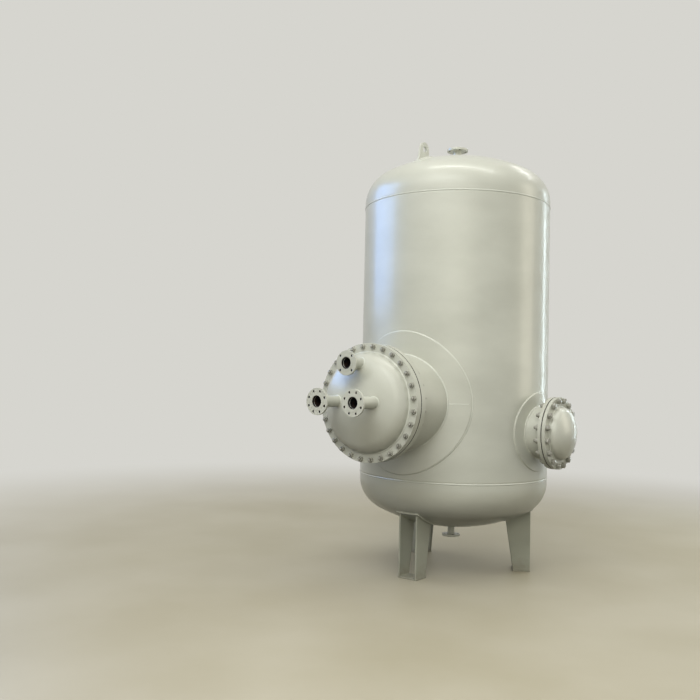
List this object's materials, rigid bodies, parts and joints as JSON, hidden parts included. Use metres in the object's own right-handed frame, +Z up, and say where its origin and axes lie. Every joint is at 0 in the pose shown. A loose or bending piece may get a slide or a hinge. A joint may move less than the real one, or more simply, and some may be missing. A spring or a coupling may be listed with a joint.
{
  "type": "floating coil heat exchanger",
  "caption": "Upright steel heat exchanger vessel on welded legs, with a bolted dished channel cover carrying its coil nozzles, a side manhole, crown and drain nozzles and lifting lugs.",
  "frame": {"origin": "on the floor under the vessel's axis, at the centre of the anchor bolt circle", "axes": "+Z up along the vessel's axis, -Y out of the channel with the coil nozzles, +X out of the manhole"},
  "size_m": [1.9198, 2.4579, 3.6782],
  "materials": {
    "vessel_paint": "silver-grey semi-gloss enamel, sprayed",
    "leg_paint": "silver-grey enamel, a thinner and duller coat",
    "gasket": "matt compressed fibre sheet"
  },
  "bodies": {
    "root": {"shell": "vessel_paint", "top_head": "vessel_paint", "bottom_head": "vessel_paint", "crown_nozzle_pipe": "vessel_paint", "crown_nozzle_flange": "vessel_paint", "drain_nozzle_pipe": "vessel_paint", "drain_nozzle_flange": "vessel_paint", "lifting_lug_front": "vessel_paint", "lifting_lug_rear": "vessel_paint", "lifting_lug_pad_front": "vessel_paint", "lifting_lug_pad_rear": "vessel_paint", "channel_neck": "vessel_paint", "channel_flange": "vessel_paint", "channel_pad_upper": "vessel_paint", "channel_pad_lower": "vessel_paint", "cover_flange": "vessel_paint", "channel_cover": "vessel_paint", "left_coil_pipe": "vessel_paint", "left_coil_flange": "vessel_paint", "right_coil_pipe": "vessel_paint", "right_coil_flange": "vessel_paint", "upper_coil_pipe": "vessel_paint", "upper_coil_flange": "vessel_paint", "manhole_neck": "vessel_paint", "manhole_flange": "vessel_paint", "manhole_pad": "vessel_paint", "manhole_cover_flange": "vessel_paint", "manhole_cover": "vessel_paint", "leg_1_rib_left": "leg_paint", "leg_1_rib_right": "leg_paint", "leg_1_base_plate": "leg_paint", "leg_1_head_pad": "leg_paint", "leg_2_rib_left": "leg_paint", "leg_2_rib_right": "leg_paint", "leg_2_base_plate": "leg_paint", "leg_2_head_pad": "leg_paint", "leg_3_rib_left": "leg_paint", "leg_3_rib_right": "leg_paint", "leg_3_base_plate": "leg_paint", "leg_3_head_pad": "leg_paint", "channel_gasket": "gasket", "manhole_gasket": "gasket"}
  },
  "joints": []
}
